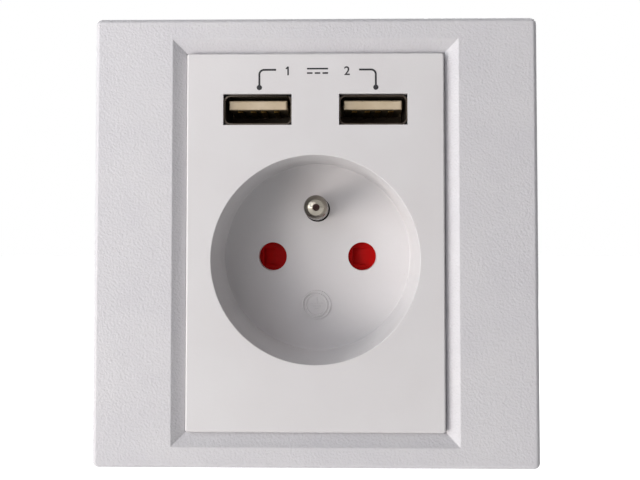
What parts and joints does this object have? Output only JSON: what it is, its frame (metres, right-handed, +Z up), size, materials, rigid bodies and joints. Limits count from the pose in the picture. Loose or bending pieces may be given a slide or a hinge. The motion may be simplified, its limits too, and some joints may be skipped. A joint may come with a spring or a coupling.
{
  "type": "usb wall socket",
  "caption": "Flush wall socket with a round recess, a standing earth pin, shuttered pin holes and rectangular charging ports above, in a square bevelled plate on a deep rear housing.",
  "frame": {"origin": "the middle of the cover, on the wall plane, halfway between the two fixing slots of the support frame", "axes": "+Z up, +Y into the wall, so the front faces -Y, and +X to the right seen from the front"},
  "size_m": [0.084, 0.0416, 0.085],
  "materials": {
    "frame_white": "spark-eroded grain",
    "cover_white": "satin moulded",
    "shutter_red": "moulded",
    "inner_white": "moulded",
    "housing_grey": "moulded",
    "support_steel": "zinc-plated sheet",
    "spring_steel": "drawn wire",
    "screw_steel": "zinc-plated",
    "pin_nickel": "nickel-plated brass",
    "contact_brass": "stamped",
    "terminal_brass": "machined",
    "board_green": "solder mask",
    "port_steel": "nickel-plated sheet",
    "port_cream": "moulded",
    "leaf_gold": "gold flash",
    "core_ferrite": "sintered",
    "bobbin_yellow": "taped winding",
    "can_black": "sleeved can",
    "chip_black": "moulded",
    "fuse_grey": "coated",
    "disc_blue": "dipped",
    "wire_blue": "extruded",
    "wire_brown": "extruded"
  },
  "bodies": {
    "socket": {"outer_frame": "frame_white", "cover_plate": "cover_white", "earth_pin": "pin_nickel", "shutter_spring": "spring_steel", "shutter_housing": "inner_white", "support_frame": "support_steel", "rear_housing": "housing_grey", "contact_carrier": "inner_white", "live_contact": "contact_brass", "neutral_contact": "contact_brass", "earth_strap": "contact_brass", "live_terminal": "terminal_brass", "neutral_terminal": "terminal_brass", "earth_terminal": "terminal_brass", "housing_screw_1": "screw_steel", "housing_screw_2": "screw_steel", "housing_screw_3": "screw_steel", "housing_screw_4": "screw_steel", "usb_board": "board_green", "usb_shell_left": "port_steel", "usb_shell_right": "port_steel", "usb_tongue_left": "port_cream", "usb_tongue_right": "port_cream", "usb_contacts_left": "leaf_gold", "usb_contacts_right": "leaf_gold", "transformer_core": "core_ferrite", "transformer_bobbin": "bobbin_yellow", "input_capacitor": "can_black", "output_capacitor": "can_black", "controller_chip": "chip_black", "fuse_resistor": "fuse_grey", "suppression_capacitor": "disc_blue", "usb_wire_neutral": "wire_blue", "usb_wire_live": "wire_brown"},
    "shutter": {"safety_shutter": "shutter_red"},
    "live_clamp": {"live_terminal_screw": "screw_steel"},
    "neutral_clamp": {"neutral_terminal_screw": "screw_steel"},
    "earth_clamp": {"earth_terminal_screw": "screw_steel"}
  },
  "joints": [
    {"name": "shutter_slide", "type": "slide", "parent": "socket", "child": "shutter", "axis": [1, 0, 0], "range_m": [0, 0.0066], "stiffness_N_per_m": 120, "springref_m": -0.004, "deforming": ["shutter_spring"]},
    {"name": "live_clamp_slide", "type": "slide", "parent": "socket", "child": "live_clamp", "axis": [0, 0, -1], "range_m": [0, 0.0025]},
    {"name": "neutral_clamp_slide", "type": "slide", "parent": "socket", "child": "neutral_clamp", "axis": [0, 0, -1], "range_m": [0, 0.0025]},
    {"name": "earth_clamp_slide", "type": "slide", "parent": "socket", "child": "earth_clamp", "axis": [0, 0, -1], "range_m": [0, 0.0025]}
  ]
}
